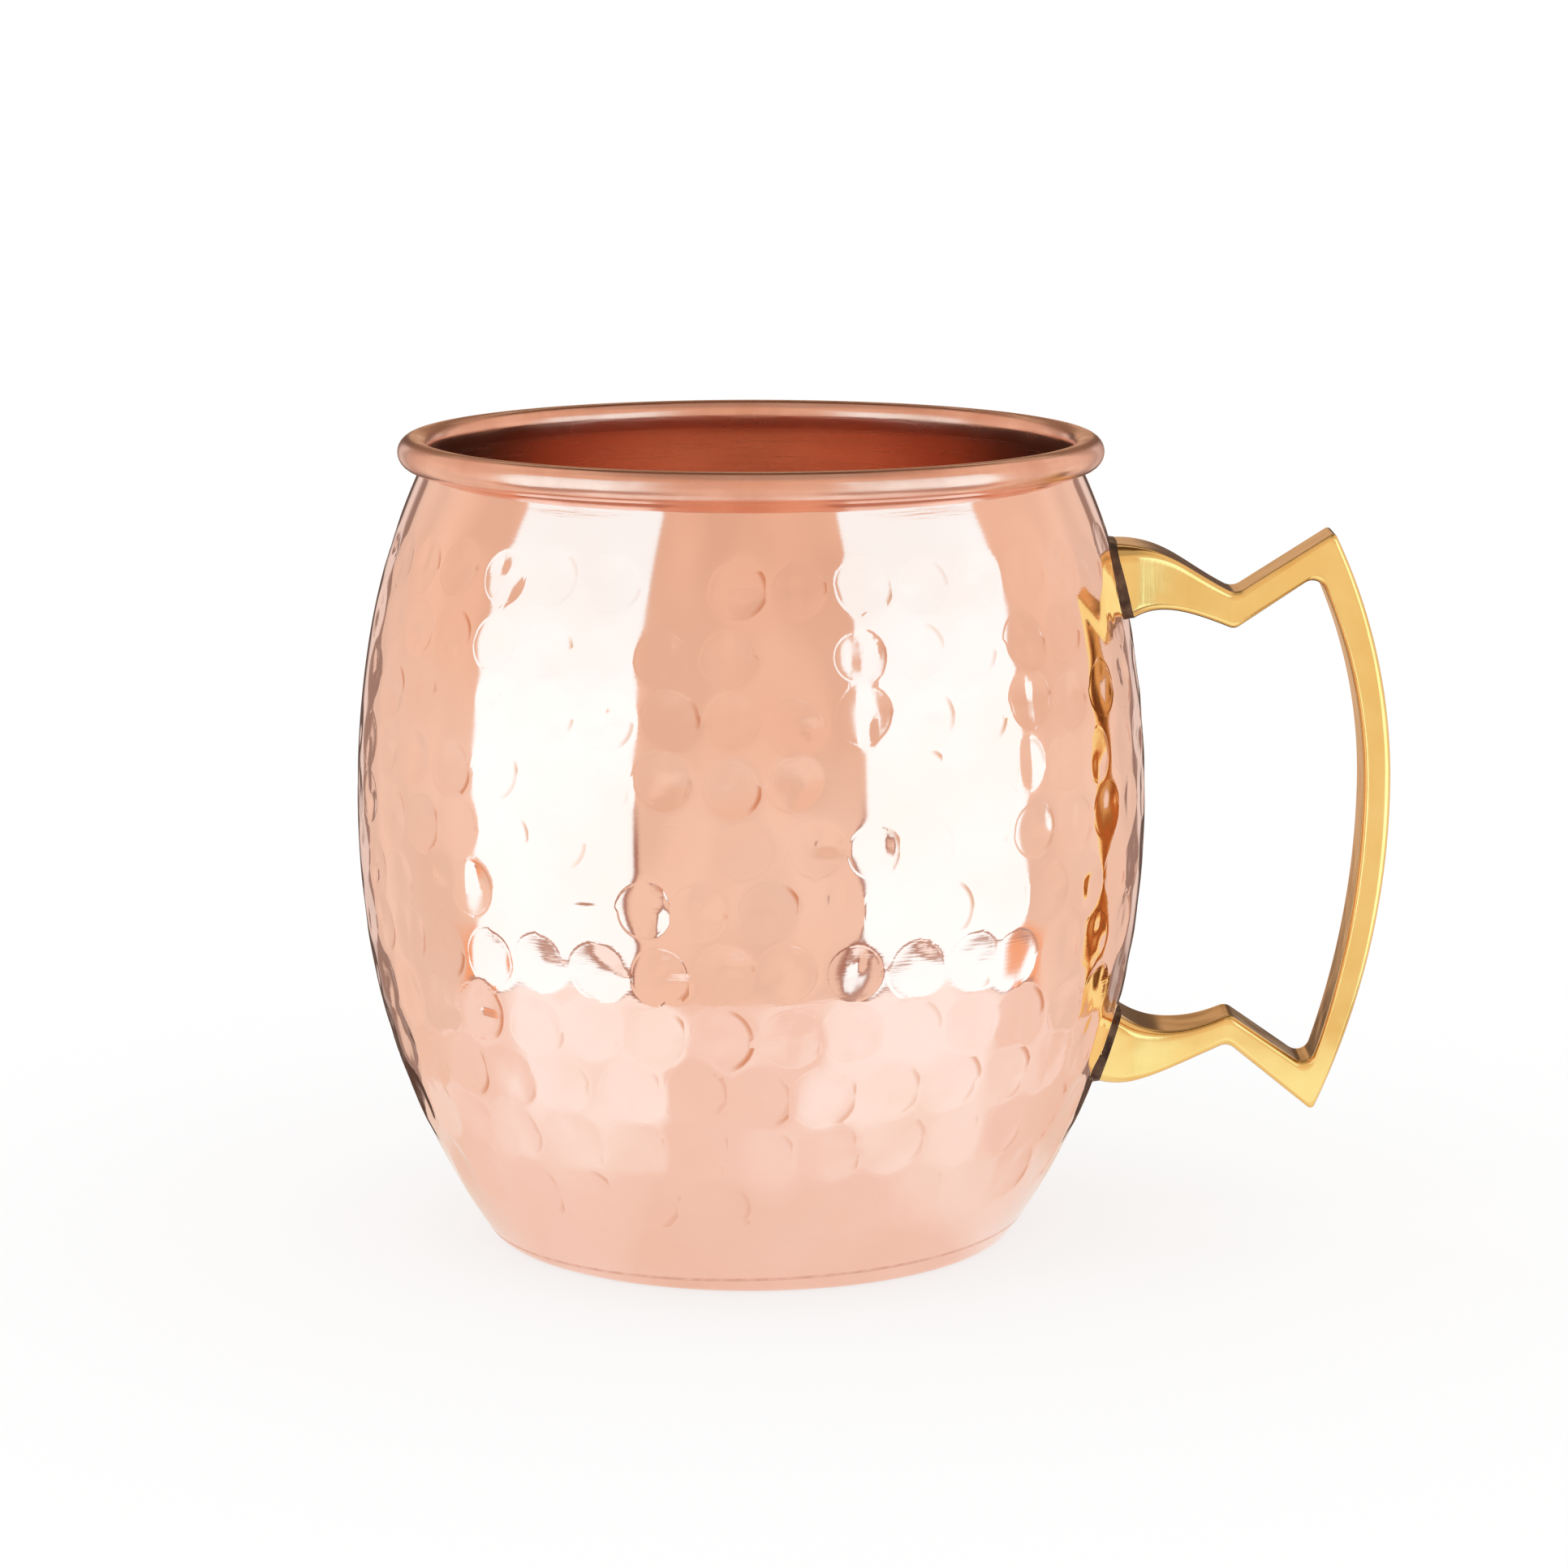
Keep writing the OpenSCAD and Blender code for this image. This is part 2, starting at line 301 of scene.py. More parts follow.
# Two tones in soft clouds under a fine grain, which is the clouds themselves unless it is brushed or turned
def makeMetal(name):
    look = {**plainMetal, **metals[name]}
    material, add = newMaterial(name)
    place = add("TexCoord").outputs["Object"]
    clouds = add("TexNoise", {
        "Vector": place, "Scale": look["cloud"], "Detail": look["cloudDetail"],
        "Roughness": look["cloudRoughness"]})
    tone = add("ValToRGB", {"Fac": clouds})
    setStops(tone, (
        (look["deepStop"], hexColour(look["deep"])), (look["paleStop"], hexColour(look["pale"]))))
    grain = clouds
    if look["grain"] == "brushed":
        stretched = add("Mapping", {
            "Vector": place, "Scale": look["stretch"], "Rotation": (0, look["slant"], 0)})
        grain = add("TexNoise", {"Vector": stretched, "Scale": look["line"], "Detail": look["lineDetail"]})
    if look["grain"] == "turned":
        level = add("VectorMath", {0: place, 1: (1, 1, 0)}, operation="MULTIPLY")
        reach = add("VectorMath", {0: level}, operation="LENGTH")
        grain = add("TexNoise", {
            "W": reach, "Scale": look["line"], "Detail": look["lineDetail"]}, noise_dimensions="1D")
    bump = add("Bump", {"Height": grain, "Strength": look["bump"], "Distance": look["bumpDepth"]})
    haze = add("MapRange", {
        "Value": grain if look["polishBy"] == "grain" else clouds, "From Min": 0.3, "From Max": 0.7,
        "To Min": look["roughness"][0], "To Max": look["roughness"][1]})
    surface = add("BsdfPrincipled", {
        "Base Color": tone, "Metallic": look["metallic"], "Roughness": haze, "Normal": bump})
    add("OutputMaterial", {"Surface": surface})
    return material, {
        "add": add, "place": place, "tone": tone, "bump": bump, "haze": haze, "surface": surface}


# Painted shade on the steep side of a mark: a darker crescent of colour, which is also left rougher and
# duller
def addCrescentShade(parts):
    look = metals["hammeredCopper"]
    add = parts["add"]
    where, sideways, force = (
        add("Attribute", attribute_name=name).outputs["Fac"]
        for name in ("markShare", "markSide", "markForce"))
    ranges = []
    for value, start, stop in (
            (where, 0.8, 0.95), (where, 1.03, 0.97), (sideways, 0.7, 0.98), (force, 0.35, 0.95),
            (where, 0.9, 1.02)):
        ranges.append(add("MapRange", {
            "Value": value, "From Min": start, "From Max": stop}, interpolation_type="SMOOTHSTEP"))
    startsIn, endsOut, steep, strong, lip = ranges
    ring = add("Math", {0: startsIn, 1: endsOut}, operation="MULTIPLY")
    sided = add("Math", {0: ring, 1: steep}, operation="MULTIPLY")
    placeNow = add("SeparateXYZ", {"Vector": parts["place"]})
    lowDown = add("MapRange", {
        "Value": placeNow.outputs["Z"], "From Min": 0.034, "From Max": 0.026,
        "To Max": look["lowCrescentShade"]})
    rowStrong = add("Math", {0: strong, 1: lowDown}, operation="MAXIMUM")
    crescentShade = add("Math", {0: sided, 1: rowStrong}, operation="MULTIPLY")
    # The crescent's darker copper is painted shade
    crescentShaded = add("MixRGB", {0: crescentShade, 1: parts["tone"], 2: hexColour(look["crescentShade"])})
    duller = add("Math", {0: crescentShade, 1: look["crescentDull"], 2: parts["haze"]}, operation="MULTIPLY_ADD")
    lipBump = add("Bump", {
        "Height": lip, "Strength": 1.0, "Distance": look["lip"], "Normal": parts["bump"]})
    for name, value in (("Base Color", crescentShaded), ("Roughness", duller), ("Normal", lipBump)):
        feed(value, parts["surface"].inputs[name])


def addRipples(parts):
    look = metals["buffedCastBrass"]
    add = parts["add"]
    ripples = add("TexNoise", {"Vector": parts["place"], "Scale": look["ripple"], "Detail": 1.0})
    broad = add("Bump", {
        "Height": ripples, "Strength": look["rippleBump"], "Distance": look["rippleDepth"]})
    feed(broad, parts["bump"].inputs["Normal"])


hammeredCopper, hammeredParts = makeMetal("hammeredCopper")
addCrescentShade(hammeredParts)
insideCopper = makeMetal("brushedCopperInside")[0]
rimCopper = makeMetal("satinCopperRim")[0]
smoothCopper = makeMetal("smoothCopper")[0]
seamBraze = makeMetal("filedSeamBraze")[0]
castBrass, brassParts = makeMetal("buffedCastBrass")
addRipples(brassParts)
handleBraze = makeMetal("oxidisedHandleBraze")[0]
print("materials made")


# Barrel: one sheet from the seam up to the rim, out and over in a roll, and back down its inside

def makeBarrelSheet():
    outside = bodyRows(0, barrel["outsidePitch"])
    flare = barrel["flareCurve"]
    roll = barrel["rollRadius"]
    flareOutside = sweepArc(flareCentre, flare, 180 + flareAngle, 180, barrel["flareRows"])
    rollHidden = sweepArc(rollCentre, roll - sheet, 180, rollEnd, barrel["rollHiddenRows"])
    rollEdge = sweepArc(rollCentre, roll - sheet, rollEnd, rollEnd, 1)
    rollOutside = sweepArc(rollCentre, roll, rollEnd, 180, barrel["rollRows"])
    flareInside = sweepArc(
        flareCentre, flare + sheet, 180, 180 + flareAngle, barrel["flareInsideRows"])
    inside = bodyRows(sheet, barrel["insidePitch"])[::-1]
    section = np.concatenate([
        outside, flareOutside, rollHidden, rollEdge, rollOutside, flareInside, inside])
    return gridMesh("hammeredBarrel", revolve(section), closedRows=True)


hammerWork = {
    "First Row": 0.0122,
    "Row Pitch": 0.00712,
    "Rows": 11,
    "Spacing Low": 0.0079,
    "Spacing High": 0.0073,
    "Mark Radius Low": 0.0043,
    "Mark Radius High": 0.0033,
    "Depth Low": 0.00023,
    "Depth": 0.00009,
    "Deepest": 0.00026,
    "Deep Share": 4.5,
    "Bowl Power": 2.3,
    "Radius Spread": 0.2,
    "Lean": 0.75,
    "Lean Spread": 1.3,
    "Scatter": 0.0006,
    "Missed": 0.04,
    "Show Through": 0.6,
    "Seed": 12,
}


# The sums behind one mark, in turn: the name of a result, the operation, and what goes in
markSums = (
    ("sizeChange", "SUBTRACT", "firstLuck", 0.5),
    ("sizeFactor", "MULTIPLY_ADD", "sizeChange", "Radius Spread", 1.0),
    ("radius", "MULTIPLY", "markSize", "sizeFactor"),
    ("share", "DIVIDE", "distance", "radius"),
    ("rise", "POWER", "share", "Bowl Power"),
    ("left", "SUBTRACT", 1.0, "rise"),
    ("bowl", "MAXIMUM", "left", 0.0),
    # A leaning blow cuts in steeply on one side of the mark and fades out on the other
    ("turned", "SUBTRACT", "lastLuck", 0.5),
    ("angle", "MULTIPLY", "turned", "Lean Spread"),
    ("cosine", "COSINE", "angle"),
    ("sine", "SINE", "angle"),
    ("sidePart", "MULTIPLY", "sideways", "cosine"),
    ("leanWay", "MULTIPLY_ADD", "upward", "sine", "sidePart"),
    ("leanShare", "DIVIDE", "leanWay", "radius"),
    ("leaning", "MULTIPLY_ADD", "leanShare", "Lean", 1.0),
    # Most blows are light, and a few go deep
    ("rare", "POWER", "nextLuck", "Deep Share"),
    ("extra", "SUBTRACT", "Deepest", "usual"),
    ("depth", "MULTIPLY_ADD", "rare", "extra", "usual"),
    ("shaped", "MULTIPLY", "bowl", "leaning"),
    ("mark", "MULTIPLY", "shaped", "depth"),
    ("side", "DIVIDE", "leanWay", "distance"),
)


# Rows of hammer marks round the barrel. Neighbouring marks belong to different passes,
# so each pass has room round its marks, and where two overlap the deeper one shows.
def hammerTree():
    tree = bpy.data.node_groups.new("hammerRows", "GeometryNodeTree")
    add = partial(addNode, tree)
    tree.interface.new_socket("Geometry", in_out="INPUT", socket_type="NodeSocketGeometry")
    tree.interface.new_socket("Geometry", in_out="OUTPUT", socket_type="NodeSocketGeometry")
    kinds = {name: "Int" if isinstance(value, int) else "Float" for name, value in hammerWork.items()}
    kinds.update({"Outside": "Material", "Inside": "Material", "Rim": "Material", "Rim Starts": "Float"})
    for name, kind in kinds.items():
        tree.interface.new_socket(name, in_out="INPUT", socket_type="NodeSocket" + kind)
    given = add("NodeGroupInput").outputs
    place = add("GeometryNodeInputPosition").outputs["Position"]
    facing = add("GeometryNodeInputNormal").outputs["Normal"]

    # A ring for each row, as wide as the barrel is there and turned at random
    lowest = add("CombineXYZ", {"Z": given["First Row"]})
    step = add("CombineXYZ", {"Z": given["Row Pitch"]})
    posts = add("GeometryNodeMeshLine", {
        "Count": given["Rows"], "Start Location": lowest, "Offset": step}, mode="OFFSET")
    postHeight = add("SeparateXYZ", {"Vector": place})
    farOut = add("CombineXYZ", {"X": 0.2, "Z": postHeight.outputs["Z"]})
    touch = add("GeometryNodeRaycast", {
        "Target Geometry": given["Geometry"], "Source Position": farOut, "Ray Direction": (-1, 0, 0),
        "Ray Length": 0.3})
    touched = add("SeparateXYZ", {"Vector": touch.outputs["Hit Position"]})
    ringSize = add("CombineXYZ", {"X": touched.outputs["X"], "Y": touched.outputs["X"], "Z": 1.0})
    anyTurn = add("FunctionNodeRandomValue", {
        0: (0, 0, 0), 1: (0, 0, 2 * math.pi), "Seed": given["Seed"]}, data_type="FLOAT_VECTOR")
    circle = add("GeometryNodeCurvePrimitiveCircle", {"Resolution": 128, "Radius": 1.0})
    rings = add("GeometryNodeInstanceOnPoints", {
        "Points": posts, "Instance": circle, "Rotation": anyTurn, "Scale": ringSize})
    ringCurves = add("GeometryNodeRealizeInstances", {"Geometry": rings})

    # Marks along each ring, closer together high up
    spacing = add("MapRange", {
        "Value": postHeight.outputs["Z"], "From Min": 0.012, "From Max": 0.05,
        "To Min": given["Spacing Low"], "To Max": given["Spacing High"]})
    stepped = add("GeometryNodeResampleCurve", {"Curve": ringCurves, "Length": spacing}, mode="LENGTH")
    which = add("GeometryNodeCurveOfPoint")
    rowSide = add("Math", {0: which.outputs["Curve Index"], 1: 2.0}, operation="MODULO")
    markSide = add("Math", {0: which.outputs["Index in Curve"], 1: 2.0}, operation="MODULO")
    blow = add("Math", {0: rowSide, 1: 2.0, 2: markSide}, operation="MULTIPLY_ADD")
    noted = add("GeometryNodeStoreNamedAttribute", {
        "Geometry": stepped, "Name": "hammerPass", "Value": blow}, data_type="INT", domain="POINT")
    marks = add("GeometryNodeCurveToPoints", {"Curve": noted}, mode="EVALUATED")
    fewer = add("FunctionNodeRandomValue", {
        "Probability": given["Missed"], "Seed": given["Seed"]}, data_type="BOOLEAN")
    struck = add("GeometryNodeDeleteGeometry", {"Geometry": marks, "Selection": fewer}, domain="POINT")
    spread = add("FunctionNodeRandomValue", {
        0: (-1, -1, -1), 1: (1, 1, 1), "Seed": given["Seed"]}, data_type="FLOAT_VECTOR")
    offCentre = add("VectorMath", {0: spread, "Scale": given["Scatter"]}, operation="SCALE")
    scattered = add("GeometryNodeSetPosition", {"Geometry": struck, "Offset": offCentre})
    onSheet = add("GeometryNodeProximity", {"Geometry": given["Geometry"]}, target_element="FACES")
    centres = add("GeometryNodeSetPosition", {
        "Geometry": scattered, "Position": onSheet.outputs["Position"]})
    passNumber = add("GeometryNodeInputNamedAttribute", {"Name": "hammerPass"}, data_type="INT")

    # How large and how deep a mark is at this height, and the way round the sheet
    here = add("SeparateXYZ", {"Vector": place})
    markSize = add("MapRange", {
        "Value": here.outputs["Z"], "From Min": 0.012, "From Max": 0.05,
        "To Min": given["Mark Radius Low"], "To Max": given["Mark Radius High"]})
    along = add("VectorMath", {0: (0, 0, 1), 1: facing}, operation="CROSS_PRODUCT")
    usual = add("MapRange", {
        "Value": here.outputs["Z"], "From Min": 0.026, "From Max": 0.046,
        "To Min": given["Depth Low"], "To Max": given["Depth"]})
    known = {name: given[name] for name in hammerWork}
    known.update({"markSize": markSize, "usual": usual})
    deepest = None
    for number in range(4):
        nearest = add("GeometryNodeProximity", {
            "Geometry": centres, "Group ID": passNumber, "Sample Group ID": number},
            target_element="POINTS")
        luck = add("TexWhiteNoise", {"Vector": nearest.outputs["Position"]}, noise_dimensions="3D")
        chances = add("SeparateXYZ", {"Vector": luck.outputs["Color"]})
        across = add("VectorMath", {0: place, 1: nearest.outputs["Position"]}, operation="SUBTRACT")
        for name, way in (("sideways", along), ("upward", (0, 0, 1))):
            known[name] = add("VectorMath", {0: across, 1: way}, operation="DOT_PRODUCT")
        known["distance"] = nearest.outputs["Distance"]
        known["firstLuck"], known["nextLuck"], known["lastLuck"] = chances.outputs
        for name, operation, *values in markSums:
            inputs = {socket: known.get(value, value) for socket, value in enumerate(values)}
            known[name] = add("Math", inputs, operation=operation)
        found = (known["share"], known["side"], known["firstLuck"])
        if deepest is None:
            deepest, closest = known["mark"], found
            continue
        deepest = add("Math", {0: deepest, 1: known["mark"]}, operation="MAXIMUM")
        nearer = add("FunctionNodeCompare", {
            0: known["share"], 1: closest[0]}, operation="LESS_THAN", data_type="FLOAT")
        closest = [
            add("GeometryNodeSwitch", {0: nearer, 1: old, 2: new}, input_type="FLOAT")
            for old, new in zip(closest, found)]

    # The outside goes in, and the inside bulges in by a share of it
    level = add("VectorMath", {0: place, 1: (1, 1, 0)}, operation="MULTIPLY")
    outward = add("VectorMath", {0: level}, operation="NORMALIZE")
    outness = add("VectorMath", {0: facing, 1: outward}, operation="DOT_PRODUCT")
    isOutside = add("Math", {0: outness, 1: 0.2}, operation="GREATER_THAN")
    isInside = add("Math", {0: outness, 1: -0.2}, operation="LESS_THAN")
    shown = add("Math", {0: isInside, 1: given["Show Through"]}, operation="MULTIPLY")
    pushed = add("Math", {0: shown, 1: isOutside}, operation="SUBTRACT")
    amount = add("Math", {0: pushed, 1: deepest}, operation="MULTIPLY")
    offset = add("VectorMath", {0: facing, "Scale": amount}, operation="SCALE")
    # Where a point lies in its mark, kept for the material's painted crescent shade before the sheet moves
    sheetNow = given["Geometry"]
    for name, value in zip(("markShare", "markSide", "markForce"), closest):
        sheetNow = add("GeometryNodeStoreNamedAttribute", {
            "Geometry": sheetNow, "Name": name, "Value": value}, data_type="FLOAT", domain="POINT")
    dented = add("GeometryNodeSetPosition", {"Geometry": sheetNow, "Offset": offset})
    whole = add("GeometryNodeRealizeInstances", {"Geometry": dented})
    onRim = add("Math", {0: here.outputs["Z"], 1: given["Rim Starts"]}, operation="GREATER_THAN")
    for selection, finish in ((True, "Outside"), (isInside, "Inside"), (onRim, "Rim")):
        whole = add("GeometryNodeSetMaterial", {
            "Geometry": whole, "Selection": selection, "Material": given[finish]})
    add("NodeGroupOutput", {"Geometry": whole})
    return tree


def setInputs(modifier, values):
    for item in modifier.node_group.interface.items_tree:
        if item.in_out == "INPUT" and item.name in values:
            modifier[item.identifier] = values[item.name]


hammeredBarrel = makeBarrelSheet()
hammering = hammeredBarrel.modifiers.new("hammering", "NODES")
hammering.node_group = hammerTree()
setInputs(hammering, {
    **hammerWork, "Outside": hammeredCopper, "Inside": insideCopper, "Rim": rimCopper,
    "Rim Starts": (rimHeight - barrel["rollRadius"]) * 0.001})
bakeModifiers(hammeredBarrel)
finishPiece(hammeredBarrel, "barrel_wall", 50)
print("barrel hammered:", len(hammeredBarrel.data.vertices), "points")


# Base pan: a flat disc with its edge turned up to the seam

pan = {
    "flatRings": 10,
    "cornerRows": 8,
    "footRows": 6,
}


def makePan():
    foot = barrel["footCurve"]
    below = -barrel["seamWidth"] / 2
    inner = cornerHeight - sheet
    reaches = cornerReach * np.arange(1, pan["flatRings"]) / pan["flatRings"]
    flat = np.stack([reaches, np.zeros_like(reaches)], axis=-1)[:, None, :] * np.ones((1, len(turns), 1))
    outside = np.concatenate([
        flat,
        sweepArc(cornerCentre, cornerHeight, -90, cornerAngle, pan["cornerRows"]),
        sweepArc(footCentre, foot, cornerAngle, seamAngle(foot, below), pan["footRows"] + 1),
        sweepArc(footCentre, foot, seamAngle(foot, below), seamAngle(foot, below), 1),
    ])
    raised = flat[::-1] + [0, sheet]
    inside = np.concatenate([
        sweepArc(footCentre, foot - sheet, seamAngle(foot - sheet, below), cornerAngle, pan["footRows"]),
        sweepArc(cornerCentre, inner, cornerAngle, -90, pan["cornerRows"]),
        sweepArc(cornerCentre, inner, -90, -90, 1),
        raised,
    ])
    section = np.concatenate([outside, inside])
    return gridMesh("basePan", revolve(section), firstPole=[0, 0, 0], lastPole=[0, 0, sheet])


basePan = makePan()
finishPiece(basePan, "base_pan", 50, smoothCopper)


# Base seam: the braze between barrel and pan, a hair proud of the sheet

seam = {
    "proud": 0.03,
    "waver": 0.25,
}


def makeSeam():
    foot = barrel["footCurve"]
    waver = 1 + seam["waver"] * (np.sin(7 * turns + 0.8) * 0.5 + np.sin(19 * turns + 2.1) * 0.3)
    half = barrel["seamWidth"] / 2
    proud = seam["proud"] * waver
    rows = []
    for radius, swell, heights in (
            (foot, 1, (-1, -0.55, 0, 0.55, 1)),
            (foot - sheet, -1, (1, 0.55, 0, -0.55, -1))):
        for share in heights:
            lift = (1 - share ** 2) * proud * swell
            turn = np.radians(seamAngle(radius, share * half))
            reach = footCentre[0] + (radius + lift) * np.cos(turn)
            height = footCentre[1] + (radius + lift) * np.sin(turn)
            rows.append(np.stack([reach, height], axis=-1))
    return gridMesh("footSeam", revolve(np.array(rows)), closedRows=True)


footSeam = makeSeam()
finishPiece(footSeam, "base_seam", 60, seamBraze)
print("base made")


# Handle: one casting, lofted from the upper root round the bar to the lower root

handle = {
    "barReach": 29.1,
    "barThick": 3.25,
    "barWide": 8.0,
    "rootWide": 12.5,
    "flareLength": 12.0,
    "flarePower": 1.25,
    "upperDrop": 15.25,
    "lowerHeight": 22.4,
    "bulgeUp": 3.3,
    "innerCorner": 1.6,
    "tip": 0.5,
    "brazeGap": 0.7,
    "edgeRound": 0.9,
    "crownTall": 2.2,
    "crownWide": 4.2,
    "lowerCrownTall": 1.3,
    "lowerCrownWide": 3.0,
    "crownEnds": 9.5,
    "cornerSteps": 7,
    "faceSteps": 6,
    "bendSteps": 9,
    "curveSteps": 24,
    "barSteps": 28,
    "straightSteps": 8,
    "trimSteps": 16,
    "sunk": 2.5,
    "arcPoints": 300,
    "arcAim": 20,
}
upperZ = rimHeight - handle["upperDrop"]
lowerZ = handle["lowerHeight"]
barZ = (upperZ + lowerZ) / 2 + handle["bulgeUp"]


def fromUpper(across, up):
    return np.array([bellyReach + across, upperZ + up])


def fromLower(across, up):
    return np.array([bellyReach + across, lowerZ + up])


def bezier(a, b, c, d):
    t = np.arange(handle["curveSteps"])[:, None] / handle["curveSteps"]
    u = 1 - t
    return u ** 3 * a + 3 * u * u * t * b + 3 * u * t * t * c + t ** 3 * d


def roundCorner(before, corner, after, radius):
    u = (before - corner) / np.linalg.norm(before - corner)
    v = (after - corner) / np.linalg.norm(after - corner)
    half = math.acos(float(u @ v)) / 2
    bisector = (u + v) / np.linalg.norm(u + v)
    centre = corner + bisector * radius / math.sin(half)
    s = corner + u * radius / math.tan(half) - centre
    e = corner + v * radius / math.tan(half) - centre
    turn = math.pi - 2 * half
    t = np.linspace(0, 1, handle["bendSteps"])[:, None]
    return centre + (np.sin(turn * (1 - t)) * s + np.sin(turn * t) * e) / math.sin(turn)


def straight(start, end):
    t = (np.arange(handle["straightSteps"])[:, None] + 1) / (handle["straightSteps"] + 1)
    return start + (end - start) * t


# From an end of the bar to its furthest point, on an arc that stands upright there
def barArc(out, end):
    radius = ((out - end[0]) ** 2 + (end[1] - barZ) ** 2) / (2 * (out - end[0]))
    centre = np.array([out - radius, barZ])
    sweep = math.asin((end[1] - barZ) / radius)
    angle = np.linspace(sweep, 0, handle["arcPoints"])[:, None]
    return np.hstack([centre[0] + radius * np.cos(angle), centre[1] + radius * np.sin(angle)])


# The rest of an arc after a rounded corner has used its start, in even steps
def arcAfter(arc, corner, joined):
    used = np.linalg.norm(joined - corner)
    rest = arc[np.linalg.norm(arc - corner, axis=1) > used + 0.02]
    path = np.vstack([joined, rest])
    length = np.concatenate([[0], np.cumsum(np.linalg.norm(np.diff(path, axis=0), axis=1))])
    marks = np.linspace(0, length[-1], handle["barSteps"] + 1)[1:]
    return np.stack([np.interp(marks, length, path[:, axis]) for axis in range(2)], axis=-1)


# One side of the casting, from the upper root to the lower one, in the same steps for both sides
def handleSide(topCurve, elbow, tip, tipRadius, elbowRadius, out, lowTip, lowElbow, lowRadius, lowCurve):
    upArc = barArc(out, tip)
    downArc = barArc(out, lowTip)
    bend = roundCorner(topCurve[-1], elbow, tip, elbowRadius)
    turnOver = roundCorner(elbow, tip, upArc[handle["arcAim"]], tipRadius)
    turnUnder = roundCorner(downArc[handle["arcAim"]], lowTip, lowElbow, tipRadius)
    lowBend = roundCorner(lowTip, lowElbow, lowCurve[-1], lowRadius)
    upper = arcAfter(upArc, tip, turnOver[-1])
    lower = arcAfter(downArc, lowTip, turnUnder[0])[::-1]
    return np.vstack([
        topCurve, bend,
        straight(bend[-1], turnOver[0]), turnOver,
        upper, lower[1:], turnUnder,
        straight(turnUnder[-1], lowBend[0]), lowBend,
        lowCurve[::-1],
    ])


upperTop, upperBottom = upperZ + 4.4, upperZ - 4.4
lowerTop, lowerBottom = lowerZ + 4.0, lowerZ - 4.0
upperValley = fromUpper(10.4, -1.6)
upperElbow = fromUpper(10.2, -5.8)
lowerPeak = fromLower(10.4, 4.1)
lowerElbow = fromLower(10.2, 0.6)
barOut = bellyReach + handle["barReach"]
barIn = barOut - handle["barThick"]
outerSide = handleSide(
    bezier(np.array([barrelReach(upperTop), upperTop]), fromUpper(2.4, 4.5),
           fromUpper(4.4, 1.2), upperValley),
    upperValley, fromUpper(21.9, 5.75), handle["tip"], 2.0, barOut, fromLower(20.5, -7.75),
    lowerElbow, 1.6,
    bezier(np.array([barrelReach(lowerBottom), lowerBottom + 0.4]), fromLower(-2, -4.8),
           fromLower(2, -2.8), lowerElbow))
innerSide = handleSide(
    bezier(np.array([barrelReach(upperBottom), upperBottom]), fromUpper(1, -2.3),
           fromUpper(4.5, -3.4), upperElbow),
    upperElbow, fromUpper(20, 0.8), handle["innerCorner"], 1.2, barIn, fromLower(20, -2.6),
    lowerPeak, 1.4,
    bezier(np.array([barrelReach(lowerTop), lowerTop + 0.6]), fromLower(0.5, 1.6),
           fromLower(5, 1.5), lowerPeak))


def handleHalf(x):
    along = np.clip((x - (bellyReach - 2)) / handle["flareLength"], 0, 1)
    fuller = (handle["rootWide"] - handle["barWide"]) / 2
    return handle["barWide"] / 2 + fuller * (1 - along) ** handle["flarePower"]


# The loop of one station, from the middle of its outer face round and back
def stationLoop(outer, inner, outRound, inRound):
    thick = np.linalg.norm(inner - outer)
    down = (inner - outer) / thick
    quarter = np.linspace(0, math.pi / 2, handle["cornerSteps"])
    half = []
    for share in np.linspace(0, 0.94, handle["faceSteps"]):
        half.append((0.0, share, outRound[1], 0))
    for angle in quarter:
        half.append((outRound[0] * (1 - math.cos(angle)), 1.0, outRound[1] * (1 - math.sin(angle)), 1))
    side = thick - outRound[0] - inRound[0]
    for share in (0.06, 0.25, 0.5, 0.75, 0.94):
        half.append((outRound[0] + side * share, 1.0, 0.0, 1))
    for angle in quarter[::-1]:
        half.append((thick - inRound[0] * (1 - math.cos(angle)), 1.0, inRound[1] * (1 - math.sin(angle)), 1))
    for share in np.linspace(0.94, 0, handle["faceSteps"]):
        half.append((thick, share, inRound[1], 0))
    right = []
    for depth, share, back, corner in half:
        point = outer + down * depth
        wide = handleHalf(point[0])
        across = wide - back if corner else (wide - back) * share
        right.append([point[0], -across, point[1]])
    right = np.array(right)
    left = right[-2:0:-1] * [1, -1, 1]
    return np.vstack([right, left])


# Each column of the loft starts where it comes out of the barrel, with room left for the braze
def trimToBarrel(loops):
    trimmed = loops.copy()
    reachBack = handle["trimSteps"]
    steps = np.arange(len(loops), dtype=float)
    for column in range(loops.shape[1]):
        line = loops[:, column]
        out = np.hypot(line[:, 0], line[:, 1]) - barrelReach(line[:, 2], handle["brazeGap"])
        first = int(np.argmax(out[:reachBack] > 0))
        start = first - out[first] / (out[first] - out[first - 1]) if first else 0.0
        moved = start + (reachBack - start) * steps[:reachBack] / reachBack
        for axis in range(3):
            trimmed[:reachBack, column, axis] = np.interp(moved, steps, line[:, axis])
    return trimmed


